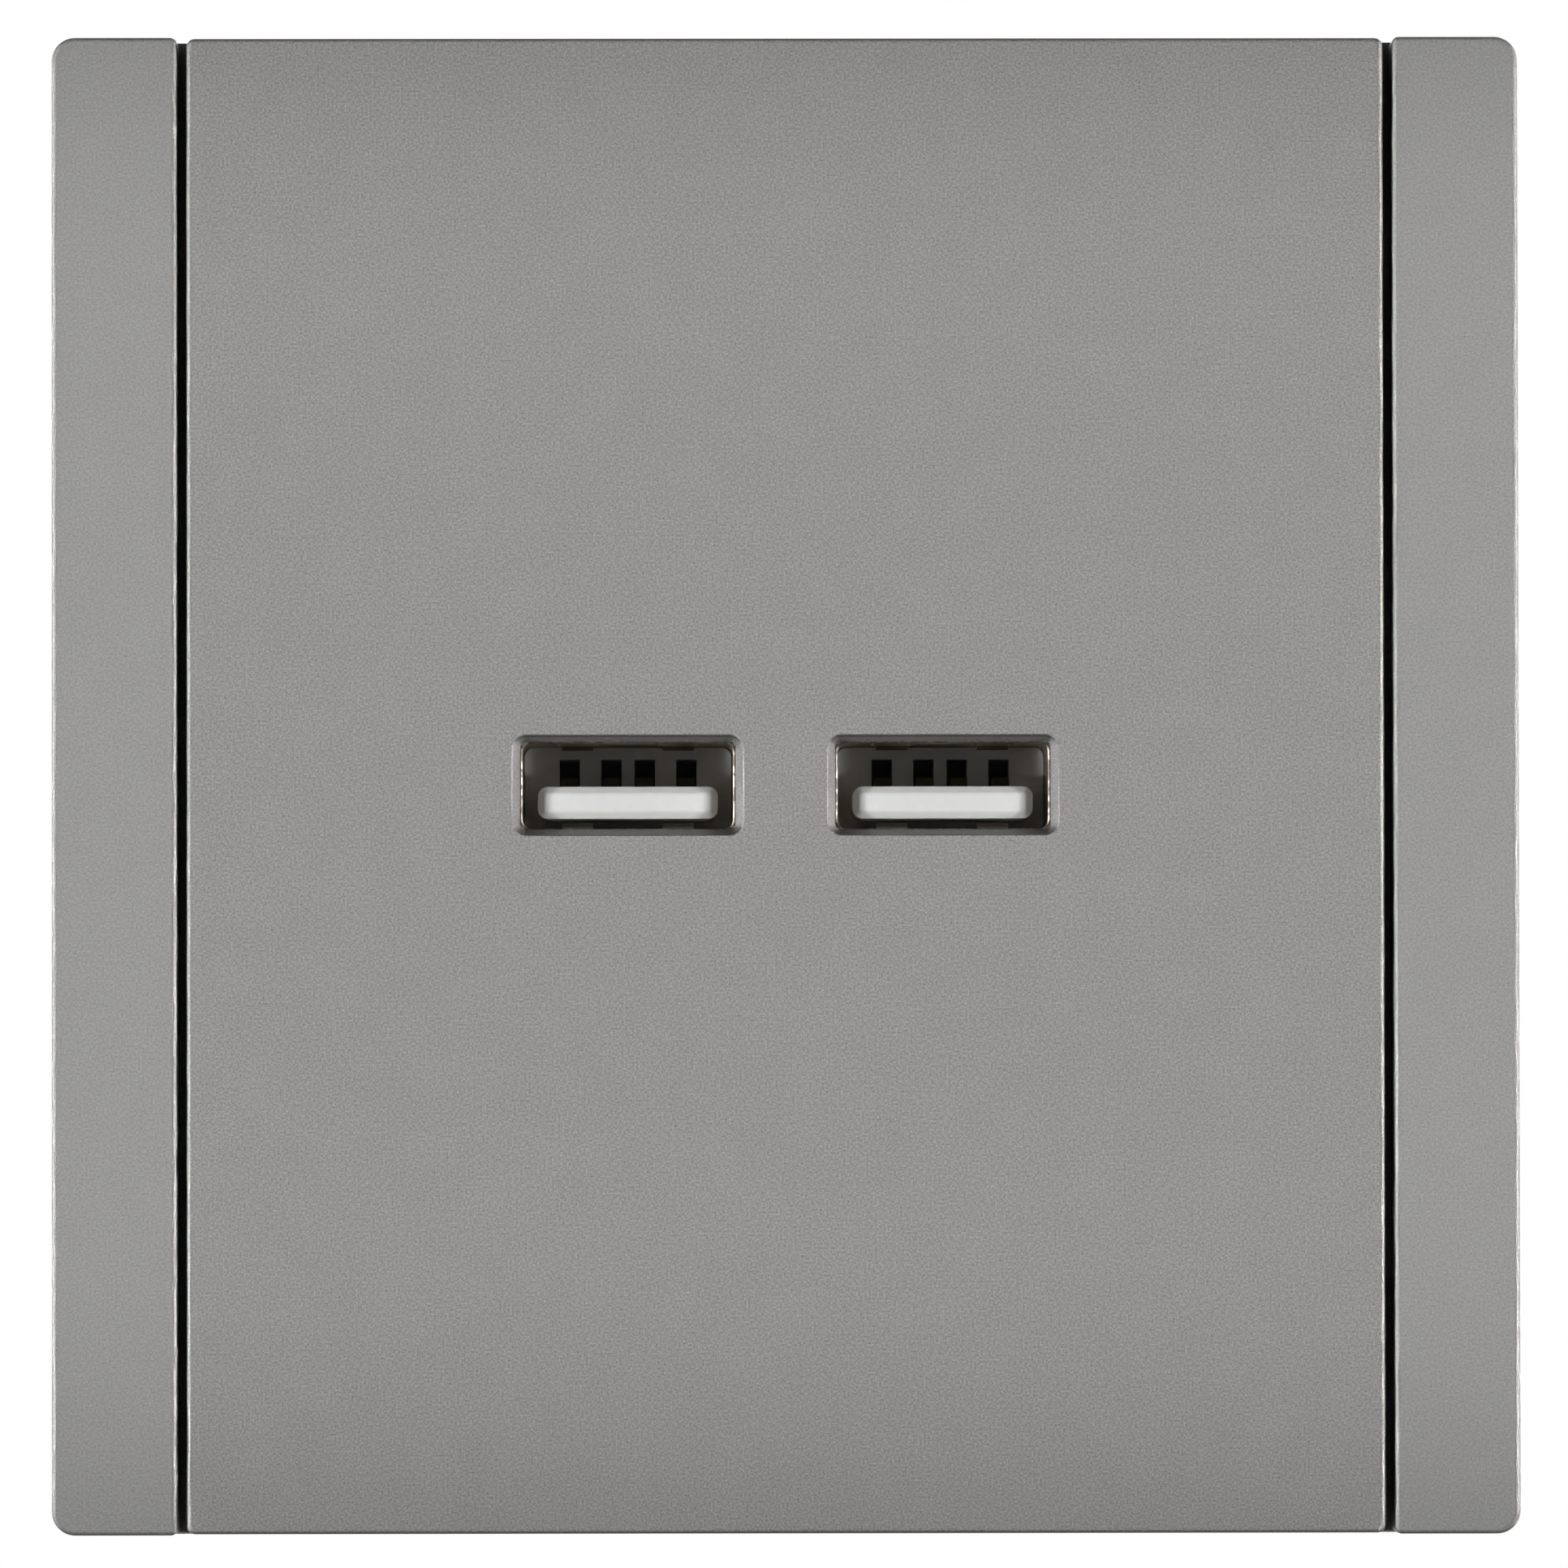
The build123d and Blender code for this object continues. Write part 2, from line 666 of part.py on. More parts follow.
def power_board():
    width = case_inner_width - 2 * power_board_gap
    height = case_inner_height - 2 * power_board_gap
    outline = RectangleRounded(width, height, case_inner_corner - power_board_gap)
    outline -= copies(Circle(link_pin / 2 + pin_gap), link_places())
    leg_middle_z = bar_leg_z + bar_thickness / 2
    leg_slot = Rectangle(bar_width + 2 * pin_gap, bar_thickness + 2 * pin_gap)
    outline -= Pos(0, leg_middle_z) * copies(leg_slot, GridLocations(pole_pitch, 1, 2, 1))
    return layer(outline, power_board_front_y, power_board_back_y)


def board_link_header():
    body = Pos(0, link_row_z) * Rectangle(link_pitch * link_count, link_pitch)
    body -= copies(Circle(link_pin / 2 + pin_gap / 2), link_places())
    return layer(body, usb_board_back_y, power_board_front_y)


def board_link_pins():
    front = usb_board_front_y - pin_projection
    back = power_board_back_y + pin_projection
    pin = layer(Circle(link_pin / 2), front, back)
    return [upright(place) * pin for place in link_places()]


def can_capacitor(diameter, height):
    """A can stood on the ground: a rolled groove near its seal and a bevelled top."""
    radius = diameter / 2
    groove_z = height / 6
    profile = Polyline(
        (0, 0),
        (radius, 0),
        (radius, groove_z - can_groove),
        (radius - can_groove, groove_z),
        (radius, groove_z + can_groove),
        (radius, height - can_edge),
        (radius - can_edge, height),
        (0, height),
        close=True,
    )
    return revolve(Plane.XZ * make_face(profile), Axis.Z)


def on_board(piece, x, z, seat_y, outward):
    """Stand a piece that was drawn on the ground on a board face that looks along Y."""
    tilt = -90 if outward > 0 else 90
    return Pos(x, seat_y, z) * Rot(tilt, 0, 0) * piece


def on_power_board(piece, x, z):
    return on_board(piece, x, z, power_board_back_y, 1)


def on_usb_board(piece, x, z):
    return on_board(piece, x, z, usb_board_front_y, -1)


def output_capacitors():
    can = can_capacitor(output_capacitor_diameter, output_capacitor_height)
    return [on_usb_board(can, side * output_spacing / 2, output_row_z) for side in (-1, 1)]


def bulk_capacitors():
    can = can_capacitor(bulk_capacitor_diameter, bulk_capacitor_height)
    return [on_power_board(can, bulk_x, bulk_bottom_z + step * bulk_spacing) for step in (0, 1)]


def moulded_chip(width, length, height):
    """A moulded package with bevelled upper edges."""
    package = Box(width, length, height, align=(Align.CENTER, Align.CENTER, Align.MIN))
    return chamfer(package.faces().sort_by(Axis.Z)[-1].edges(), chip_edge)


def usb_controller_chip():
    chip = moulded_chip(controller_length, controller_width, controller_height)
    return on_usb_board(chip, 0, output_row_z)


def switching_chip():
    chip = moulded_chip(switching_length, switching_width, switching_height)
    return on_power_board(chip, 0, switching_z)


def bridge_rectifier():
    return on_power_board(moulded_chip(bridge_width, bridge_length, bridge_height), bridge_x, bridge_z)


def output_diode():
    return on_power_board(moulded_chip(diode_width, diode_length, diode_height), diode_x, top_row_z)


def filter_choke():
    """A drum core: a waist between two flanges, with the wound wire between them."""
    profile = Polyline(
        (0, 0),
        (choke_diameter / 2, 0),
        (choke_diameter / 2, choke_lip),
        (choke_waist / 2, 2 * choke_lip),
        (choke_waist / 2, choke_height - 2 * choke_lip),
        (choke_diameter / 2, choke_height - choke_lip),
        (choke_diameter / 2, choke_height),
        (0, choke_height),
        close=True,
    )
    drum = revolve(Plane.XZ * make_face(profile), Axis.Z)
    return on_power_board(drum, choke_x, choke_z)


def suppression_capacitor():
    body = Box(film_length, film_width, film_height, align=(Align.CENTER, Align.CENTER, Align.MIN))
    body = fillet(body.faces().sort_by(Axis.Z)[-1].edges(), can_edge)
    return on_power_board(body, film_x, film_z)


def fuse():
    body = Cylinder(fuse_diameter / 2, fuse_height, align=(Align.CENTER, Align.CENTER, Align.MIN))
    body = chamfer(body.edges().sort_by(Axis.Z)[-1], can_edge)
    return on_power_board(body, fuse_x, fuse_z)


def coated_disc():
    """A dipped disc component on its two stubs of coated lead."""
    disc = Cylinder(disc_diameter / 2, disc_thickness, rotation=(90, 0, 0))
    disc = chamfer(disc.edges().filter_by(GeomType.CIRCLE), disc_edge)
    disc = Pos(0, 0, disc_diameter / 2 + disc_stand) * disc
    stub = Cylinder(disc_thickness / 4, disc_diameter / 2, align=(Align.CENTER, Align.CENTER, Align.MIN))
    for side in (-1, 1):
        disc += Pos(side * disc_diameter / 4, 0, 0) * stub
    return disc


def varistor():
    return on_power_board(coated_disc(), varistor_x, varistor_z)


def safety_capacitor():
    return on_power_board(coated_disc(), safety_x, top_row_z)


def transformer_middle_y():
    """The depth of the core's middle, which leaves room for the winding and the feet."""
    return power_board_back_y + bobbin_foot + bobbin_rise + core_height / 2


def at_transformer(piece):
    return Pos(0, transformer_middle_y(), transformer_z) * piece


def core_window_length():
    return core_width - 2 * core_yoke


def transformer_core():
    """A paired E core: two windows beside a middle limb."""
    outline = Rectangle(core_width, core_length)
    window = Rectangle(core_window_length(), core_window)
    outline -= copies(window, GridLocations(1, core_limb + core_window, 1, 2))
    return at_transformer(layer(outline, -core_height / 2, core_height / 2))


def bobbin_sleeve():
    """The section of the bobbin's tube, seen along the middle limb."""
    inner_depth = core_height + 2 * bobbin_gap
    inner_height = core_limb + 2 * bobbin_gap
    outer = Rectangle(inner_depth + 2 * bobbin_wall, inner_height + 2 * bobbin_wall)
    return outer - Rectangle(inner_depth, inner_height)


def coil_length():
    return core_window_length() - 2 * (bobbin_gap + bobbin_wall)


def flange_outline():
    """The bobbin's end plate, which fills the core's windows and stands above them."""
    height = core_limb + 2 * (core_window - bobbin_gap)
    depth = core_height + 2 * bobbin_rise
    return Rectangle(depth, height) - Rectangle(core_height + 2 * bobbin_gap, core_limb + 2 * bobbin_gap)


def transformer_bobbin():
    sleeve = side_strip(bobbin_sleeve(), 0, core_window_length() - 2 * bobbin_gap)
    end_x = (coil_length() + bobbin_wall) / 2
    for side in (-1, 1):
        sleeve += side_strip(flange_outline(), side * end_x, bobbin_wall)
        sleeve += Pos(side * end_x, 0, 0) * bobbin_base()
    return at_transformer(sleeve)


def bobbin_base():
    """A rail under each end plate that carries the transformer on the board."""
    plate_edge = core_height / 2 + bobbin_rise
    rail = Rectangle(bobbin_foot, core_length - 2 * bobbin_wall)
    return layer(rail, -plate_edge - bobbin_foot, bobbin_wall - plate_edge)


def transformer_winding():
    """The wound wire under its tape, between the bobbin's end plates."""
    depth = core_height + 2 * (bobbin_rise - bobbin_wall)
    height = core_limb + 2 * (core_window - 2 * bobbin_gap)
    section = RectangleRounded(depth, height, winding_corner)
    inner_gap = 2 * (2 * bobbin_gap + bobbin_wall)
    section -= Rectangle(core_height + inner_gap, core_limb + inner_gap)
    return at_transformer(side_strip(section, 0, coil_length() - bobbin_gap))


def terminal_block():
    middle_z = (block_top_z + block_bottom_z) / 2
    outline = Pos(0, middle_z) * Rectangle(block_width, block_top_z - block_bottom_z)
    body = layer(outline, power_board_back_y, block_back_y)
    body = chamfer(body.faces().sort_by(Axis.Y)[-1].edges(), block_wall / 3)
    chamber_middle_z = (chamber_top_z + chamber_bottom_z) / 2
    for centre in pole_centres:
        chamber = Pos(centre, chamber_middle_z) * Rectangle(chamber_width, chamber_top_z - chamber_bottom_z)
        neck = Pos(centre, pole_z) * Circle(clamp_screw / 2 + clamp_screw_gap)
        head = Pos(centre, pole_z) * Circle(clamp_head / 2 + clamp_head_gap)
        access = Pos(centre, pole_z) * Circle(clamp_access / 2)
        body -= layer(chamber, power_board_back_y, shelf_y)
        body -= layer(neck, shelf_y, clamp_head_y)
        body -= layer(head, clamp_head_y, clamp_end_y + clamp_head_gap)
        body -= layer(access, clamp_end_y, block_back_y)
        body -= wire_way(centre, block_bottom_z, chamber_bottom_z)
    return body


def terminal_screw(centre):
    """A captive slotted screw whose tip bears on the bar."""
    place = Pos(centre, pole_z)
    shank = layer(place * Circle(clamp_screw / 2), clamp_tip_y, clamp_head_y)
    head = layer(place * Circle(clamp_head / 2), clamp_head_y, clamp_end_y)
    slot_floor_y = clamp_end_y - clamp_slot_depth
    slot = layer(place * Rectangle(2 * clamp_head, clamp_slot_width), slot_floor_y, clamp_end_y)
    return shank + head - slot


def terminal_cage(centre):
    """A folded box that the wire lies in, with a tapped wall for the screw."""
    outer_middle_y = (cage_floor_y + cage_top_y) / 2
    inner_middle_y = (wire_floor_y + nut_y) / 2
    section = Pos(0, outer_middle_y) * Rectangle(cage_width, cage_top_y - cage_floor_y)
    section -= Pos(0, inner_middle_y) * Rectangle(cage_width - 2 * cage_wall, cage_opening)
    body = Pos(centre, 0, 0) * extrude(Plane.XY.offset(cage_bottom_z) * section, amount=cage_length)
    thread = Pos(centre, pole_z) * Circle(clamp_screw / 2 + clamp_screw_gap)
    return body - layer(thread, nut_y, cage_top_y)


def terminal_bar(centre):
    """The current bar: it runs through the cage and turns down through the power board."""
    start_z = cage_bottom_z + cage_wall
    end_z = bar_leg_z + bar_thickness
    run_y = (bar_y + bar_top_y) / 2
    leg_z = bar_leg_z + bar_thickness / 2
    leg_end_y = power_board_front_y - pin_projection
    run = Pos(run_y, (start_z + end_z) / 2) * Rectangle(bar_thickness, end_z - start_z)
    leg = Pos((leg_end_y + bar_top_y) / 2, leg_z) * Rectangle(bar_top_y - leg_end_y, bar_thickness)
    return side_strip(run + leg, centre, bar_width)


def all_pieces():
    """Every piece by its name; a list stands for several like solids under one name."""
    pieces = {
        "cover_plate": cover_plate(),
        "surround_frame": surround_frame(),
        "support_ring": support_ring(),
        "insert_front_cover": insert_front_cover(),
        "insert_rear_housing": insert_rear_housing(),
        "insert_screws": insert_screws(),
        "usb_board": usb_board(),
        "usb_controller_chip": usb_controller_chip(),
        "output_capacitors": output_capacitors(),
        "board_link_header": board_link_header(),
        "board_link_pins": board_link_pins(),
        "power_board": power_board(),
        "transformer_core": transformer_core(),
        "transformer_bobbin": transformer_bobbin(),
        "transformer_winding": transformer_winding(),
        "bulk_capacitors": bulk_capacitors(),
        "filter_choke": filter_choke(),
        "suppression_capacitor": suppression_capacitor(),
        "safety_capacitor": safety_capacitor(),
        "fuse": fuse(),
        "varistor": varistor(),
        "bridge_rectifier": bridge_rectifier(),
        "switching_chip": switching_chip(),
        "output_diode": output_diode(),
        "terminal_block": terminal_block(),
    }
    for side, centre in zip(("left", "right"), port_centres):
        pieces["usb_shell_" + side] = usb_shell(centre)
        pieces["usb_insulator_" + side] = usb_insulator(centre)
        pieces["usb_contacts_" + side] = usb_contacts(centre)
    for pole, centre in zip(("line", "neutral"), pole_centres):
        pieces[pole + "_terminal_screw"] = terminal_screw(centre)
        pieces[pole + "_terminal_cage"] = terminal_cage(centre)
        pieces[pole + "_terminal_bar"] = terminal_bar(centre)
    return pieces


os.makedirs("parts", exist_ok=True)
for name, piece in all_pieces().items():
    solids = piece if isinstance(piece, list) else [piece]
    export_step(Compound(children=solids), "parts/" + name + ".step")
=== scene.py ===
import json
import math

import bpy
from mathutils import Matrix, Vector


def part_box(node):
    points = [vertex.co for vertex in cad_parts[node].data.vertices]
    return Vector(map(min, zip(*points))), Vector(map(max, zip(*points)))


# Looks of the USB wall socket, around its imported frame. Lengths are in metres, +Y runs into the wall.
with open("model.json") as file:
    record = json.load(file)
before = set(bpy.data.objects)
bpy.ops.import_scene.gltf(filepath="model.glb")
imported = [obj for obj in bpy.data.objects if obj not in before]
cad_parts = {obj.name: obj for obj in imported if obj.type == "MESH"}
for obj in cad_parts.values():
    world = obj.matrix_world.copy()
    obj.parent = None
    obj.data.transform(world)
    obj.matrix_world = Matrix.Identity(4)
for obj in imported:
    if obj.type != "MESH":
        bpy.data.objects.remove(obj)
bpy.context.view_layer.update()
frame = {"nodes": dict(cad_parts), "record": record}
millimetre = 0.001

# The photograph's frame and how the plate sits in it
picture_size = 1932
plate_centre_pixel = (967.9, 967.2)
sensor_width = 36.0
lens_length = 368.0
view_distance = 0.950
view_left_degrees = 0.46
view_below_degrees = 1.45
view_roll_degrees = -0.08

# Where the front of the plate is
plate_low, plate_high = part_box("surround_frame")
plate_centre = Vector(((plate_low.x + plate_high.x) / 2, plate_low.y, (plate_low.z + plate_high.z) / 2))
face_depth = -plate_low.y
shell_low, shell_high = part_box("usb_shell_left")
lip_depth = -shell_low.y
port_middle = (shell_low.z + shell_high.z) / 2

# Sheet nearer to the middle of a port than this is a bent spring finger
finger_height = 2.45 * millimetre

# Within this half width and half height the face holds the two ports
port_reach = 17.5 * millimetre
port_half_height = 4.0 * millimetre

# Painted shade: the share of the lacquer's colour taken away on the ports' upper and lower walls and on level edges
upper_wall_painted_shade = 0.25
lower_wall_painted_shade = 0.55
level_edge_painted_shade = 0.6


class Finish:
    """A procedural material: one Principled shader with textures laid out in the object's own frame."""

    def __init__(self, name, **constants):
        self.material = bpy.data.materials.new(name)
        self.material.use_nodes = True
        self.nodes = self.material.node_tree.nodes
        self.links = self.material.node_tree.links
        self.shader = self.nodes["Principled BSDF"]
        self.place = self.nodes.new("ShaderNodeTexCoord").outputs["Object"]
        for socket, value in constants.items():
            self.shader.inputs[socket.replace("_", " ")].default_value = value

    def spread_out(self, grain, stretch):
        """Coordinates in which one unit is a grain, made longer along an axis by its stretch."""
        mapping = self.nodes.new("ShaderNodeMapping")
        mapping.inputs["Scale"].default_value = [1 / (grain * length) for length in stretch]
        self.links.new(self.place, mapping.inputs["Vector"])
        return mapping.outputs["Vector"]

    def noise(self, grain, detail=2.0, stretch=(1, 1, 1)):
        """Cloudy noise with grains of about this length."""
        texture = self.nodes.new("ShaderNodeTexNoise")
        texture.inputs["Scale"].default_value = 1.0
        texture.inputs["Detail"].default_value = detail
        self.links.new(self.spread_out(grain, stretch), texture.inputs["Vector"])
        return texture.outputs["Fac"]

    def cells(self, grain):
        """Grey cells of about this width, each with its own shade."""
        texture = self.nodes.new("ShaderNodeTexVoronoi")
        texture.inputs["Scale"].default_value = 1.0
        self.links.new(self.spread_out(grain, (1, 1, 1)), texture.inputs["Vector"])
        return texture.outputs["Color"]

    def stripes(self, grain, axis):
        """Parallel waves of this pitch along an axis."""
        texture = self.nodes.new("ShaderNodeTexWave")
        texture.bands_direction = axis
        texture.inputs["Scale"].default_value = 1.0
        texture.inputs["Distortion"].default_value = 0.6
        self.links.new(self.spread_out(grain, (1, 1, 1)), texture.inputs["Vector"])
        return texture.outputs["Fac"]

    def combine(self, operation, *values):
        """A sum of one or two numbers or outputs."""
        node = self.nodes.new("ShaderNodeMath")
        node.operation = operation
        for socket, value in zip(node.inputs, values):
            if isinstance(value, (int, float)):
                socket.default_value = value
            else:
                self.links.new(value, socket)
        return node.outputs["Value"]

    def between(self, factor, low, high, start=0.25, end=0.75):
        """A number that runs from low to high as the factor runs from start to end."""
        node = self.nodes.new("ShaderNodeMapRange")
        values = {"From Min": start, "From Max": end, "To Min": low, "To Max": high}
        for socket, value in values.items():
            node.inputs[socket].default_value = value
        self.links.new(factor, node.inputs["Value"])
        return node.outputs["Result"]

    def colours(self, factor, stops):
        """A colour that passes through stops of (position, red, green, blue)."""
        node = self.nodes.new("ShaderNodeValToRGB")
        ramp = node.color_ramp
        while len(ramp.elements) < len(stops):
            ramp.elements.new(0.5)
        for element, (position, red, green, blue) in zip(ramp.elements, stops):
            element.position = position
            element.color = (red, green, blue, 1.0)
        self.links.new(factor, node.inputs["Fac"])
        return node.outputs["Color"]

    def shades(self, factor, colour, contrast):
        """A colour that gets darker and lighter by this share of itself as the factor goes from 0 to 1."""
        dark = [channel * (1 - contrast) for channel in colour]
        light = [channel * (1 + contrast) for channel in colour]
        return self.colours(factor, [(0.0, *dark), (1.0, *light)])

    def along(self, vector, axis):
        """One coordinate of a vector."""
        split = self.nodes.new("ShaderNodeSeparateXYZ")
        self.links.new(vector, split.inputs["Vector"])
        return split.outputs[axis]

    def distance(self, axis):
        """How far a point lies from the middle of the part along an axis."""
        return self.combine("ABSOLUTE", self.along(self.place, axis))

    def facing(self, axis):
        """How squarely the surface faces along an axis, from -1 to 1."""
        return self.along(self.nodes.new("ShaderNodeNewGeometry").outputs["Normal"], axis)

    def scaled(self, colour, share):
        """A colour made darker to this share of itself."""
        node = self.nodes.new("ShaderNodeVectorMath")
        node.operation = "SCALE"
        self.links.new(colour, node.inputs[0])
        self.links.new(share, node.inputs["Scale"])
        return node.outputs["Vector"]

    def feed(self, socket, output):
        """Links an output to one of the shader's sockets."""
        self.links.new(output, self.shader.inputs[socket])

    def relief(self, height, depth, strength=1.0):
        """A bump of this depth from a height that runs from 0 to 1."""
        node = self.nodes.new("ShaderNodeBump")
        node.inputs["Strength"].default_value = strength
        node.inputs["Distance"].default_value = depth
        self.links.new(height, node.inputs["Height"])
        self.feed("Normal", node.outputs["Normal"])


def painted_shade_share(finish):
    """The share of its colour that the lacquer keeps: painted shade darkens the upper and lower walls of the ports,
    more on the lower ones, and the level front edges of the plates."""
    depth = finish.distance("Y")
    near_front = finish.between(depth, 0.0, 1.0, face_depth - 0.60 * millimetre, face_depth - 0.30 * millimetre)
    # Painted shade: the up- and down-facing front edges are darkened
    level = finish.between(finish.combine("ABSOLUTE", finish.facing("Z")), 0.0, level_edge_painted_shade, 0.30, 0.75)
    edge_shade = finish.combine("MULTIPLY", near_front, level)
    behind = finish.between(depth, 1.0, 0.0, face_depth - 0.30 * millimetre, face_depth)
    across = finish.between(finish.distance("X"), 1.0, 0.0, port_reach, port_reach + millimetre)
    upright = finish.between(finish.distance("Z"), 1.0, 0.0, port_half_height, port_half_height + millimetre)
    inside = finish.combine("MULTIPLY", finish.combine("MULTIPLY", behind, across), upright)
    # Painted shade: the upper and lower walls of the ports are darkened, the lower walls more
    upper = finish.between(finish.facing("Z"), upper_wall_painted_shade, 0.0, -0.8, -0.2)
    lower = finish.between(finish.facing("Z"), 0.0, lower_wall_painted_shade, 0.2, 0.8)
    port_shade = finish.combine("MULTIPLY", inside, finish.combine("ADD", upper, lower))
    return finish.between(finish.combine("MAXIMUM", edge_shade, port_shade), 1.0, 0.0, 0.0, 1.0)


def lacquer(name, colour, contrast):
    """Grey metallic lacquer with fine flake."""
    finish = Finish(name, Metallic=0.06, Specular_IOR_Level=0.1, Coat_Weight=0.28, Coat_Roughness=0.18)
    flake = finish.noise(0.125 * millimetre, detail=1.0)
    cloud = finish.noise(2.5 * millimetre, detail=3.0)
    tone = finish.combine("ADD", flake, finish.between(cloud, -0.02, 0.02))
    # The flaked colour is darkened by painted shade in the ports and along the level front edges
    finish.feed("Base Color", finish.scaled(finish.shades(tone, colour, contrast), painted_shade_share(finish)))
    finish.feed("Roughness", finish.between(flake, 0.40, 0.46))
    finish.relief(finish.noise(0.3 * millimetre, detail=2.0), 0.004 * millimetre, strength=0.5)
    return finish.material


def nickel_sheet():
    """Folded nickel-plated sheet, drawn along Y. Its front cut edge is dull and broken, partly a real cut edge
    and partly painted shade that dims its glints; the spring fingers carry painted shade."""
    finish = Finish("nickel_sheet", Metallic=1.0)
    drawn = finish.noise(0.06 * millimetre, stretch=(1, 40, 1))
    depth = finish.distance("Y")
    lip = finish.between(depth, 0.0, 1.0, lip_depth - 0.45 * millimetre, lip_depth - 0.30 * millimetre)
    burr_and_shade = finish.combine("MULTIPLY", lip, finish.noise(0.35 * millimetre, detail=3.0))
    height = finish.combine("SUBTRACT", finish.along(finish.place, "Z"), port_middle)
    height = finish.combine("ABSOLUTE", height)
    bent_in = finish.between(height, 1.0, 0.0, finger_height - 0.08 * millimetre, finger_height)
    not_side = finish.between(finish.combine("ABSOLUTE", finish.facing("X")), 1.0, 0.0, 0.1, 0.4)
    # Painted shade: the spring fingers, which hang in the dark top of the port, are darkened to 0.42 of the plating
    finger_painted_shade = finish.between(finish.combine("MULTIPLY", bent_in, not_side), 1.0, 0.42, 0.0, 1.0)
    # The front cut edge is darkened and broken up by noise: partly a dull cut edge, partly painted shade dimming its
    # glints
    edge = finish.between(burr_and_shade, 1.0, 0.18, 0.34, 0.56)
    plated = finish.shades(drawn, (0.66, 0.595, 0.50), 0.15)
    finish.feed("Base Color", finish.scaled(plated, finish.combine("MINIMUM", edge, finger_painted_shade)))
    finish.feed("Roughness", finish.between(drawn, 0.34, 0.50))
    uneven = finish.combine("ADD", burr_and_shade, finish.between(drawn, 0.0, 0.08))
    finish.relief(uneven, 0.012 * millimetre, strength=0.7)
    return finish.material


def insulator_plastic():
    """White moulded plastic, a little translucent."""
    finish = Finish("insulator_plastic", Subsurface_Weight=0.25, Subsurface_Scale=0.8 * millimetre)
    finish.shader.inputs["Subsurface Radius"].default_value = (1.0, 0.97, 0.9)
    cloud = finish.noise(0.7 * millimetre, detail=3.0)
    finish.feed("Base Color", finish.shades(cloud, (0.88, 0.885, 0.86), 0.04))
    finish.feed("Roughness", finish.between(cloud, 0.36, 0.46))
    finish.relief(finish.noise(0.12 * millimetre), 0.002 * millimetre, strength=0.5)
    return finish.material


def contact_metal():
    """Gold-plated spring metal, its colour darkened far below gold as painted shade for contacts deep in their slots.
    """
    finish = Finish("contact_metal", Metallic=1.0)
    drawn = finish.noise(0.05 * millimetre, stretch=(1, 20, 1))
    # Painted shade: the gold is made near black, as the contacts lie in the shade of their slots
    finish.feed("Base Color", finish.shades(drawn, (0.15, 0.11, 0.06), 0.15))
    finish.feed("Roughness", finish.between(drawn, 0.34, 0.48))
    finish.relief(drawn, 0.002 * millimetre, strength=0.5)
    return finish.material


def moulding(name, colour, roughness, grain, depth):
    """Moulded plastic with an eroded surface."""
    finish = Finish(name)
    erosion = finish.noise(grain, detail=4.0)
    flow = finish.noise(14 * millimetre, detail=3.0)
    finish.feed("Base Color", finish.shades(flow, colour, 0.22))
    finish.feed("Roughness", finish.between(erosion, roughness - 0.07, roughness + 0.07))
    finish.relief(erosion, depth, strength=0.8)
    return finish.material


def zinc_steel():
    """Stamped sheet steel with a zinc coat: a spangle, and rolling marks along X."""
    finish = Finish("zinc_steel", Metallic=1.0)
    spangle = finish.cells(3.2 * millimetre)
    rolled = finish.noise(0.10 * millimetre, stretch=(60, 1, 1))
    finish.feed("Base Color", finish.shades(spangle, (0.60, 0.605, 0.60), 0.10))
    finish.feed("Roughness", finish.between(rolled, 0.34, 0.50))
    finish.relief(rolled, 0.003 * millimetre, strength=0.7)
    return finish.material


def screw_steel():
    """Turned steel with a bright zinc coat."""
    finish = Finish("screw_steel", Metallic=1.0)
    turned = finish.noise(0.05 * millimetre, stretch=(6, 1, 6))
    cloud = finish.noise(0.9 * millimetre, detail=3.0)
    finish.feed("Base Color", finish.shades(cloud, (0.62, 0.61, 0.58), 0.18))
    finish.feed("Roughness", finish.between(turned, 0.24, 0.38))
    finish.relief(turned, 0.003 * millimetre, strength=0.6)
    return finish.material


def board_laminate():
    """Glass laminate under green solder resist, with its weave just showing."""
    finish = Finish("board_laminate", Coat_Weight=0.35, Coat_Roughness=0.18)
    warp, weft = finish.stripes(0.4 * millimetre, "X"), finish.stripes(0.4 * millimetre, "Z")
    weave = finish.combine("MULTIPLY", warp, weft)
    finish.feed("Base Color", finish.shades(weave, (0.022, 0.115, 0.050), 0.30))
    finish.feed("Roughness", finish.between(weave, 0.34, 0.46))
    finish.relief(weave, 0.006 * millimetre, strength=0.5)
    return finish.material


def capacitor_can():
    """Drawn aluminium."""
    finish = Finish("capacitor_can", Metallic=1.0)
    drawn = finish.noise(0.08 * millimetre, stretch=(1, 30, 1))
    finish.feed("Base Color", finish.shades(drawn, (0.66, 0.67, 0.68), 0.10))
    finish.feed("Roughness", finish.between(drawn, 0.26, 0.38))
    finish.relief(drawn, 0.002 * millimetre, strength=0.5)
    return finish.material


def winding_tape():
    """Yellow polyester tape over the winding."""
    finish = Finish("winding_tape", Coat_Weight=0.5, Coat_Roughness=0.12)
    turns = finish.stripes(0.9 * millimetre, "X")
    finish.feed("Base Color", finish.shades(turns, (0.62, 0.43, 0.05), 0.12))
    finish.feed("Roughness", finish.between(turns, 0.28, 0.38))
    finish.relief(turns, 0.02 * millimetre, strength=0.5)
    return finish.material


def dipped(name, colour):
    """A glossy dipped or moulded coating with a slight orange peel."""
    finish = Finish(name, Coat_Weight=0.3, Coat_Roughness=0.1)
    peel = finish.noise(0.9 * millimetre, detail=2.0)
    finish.feed("Base Color", finish.shades(peel, colour, 0.15))
    finish.feed("Roughness", finish.between(peel, 0.24, 0.34))
    finish.relief(peel, 0.03 * millimetre, strength=0.5)
    return finish.material


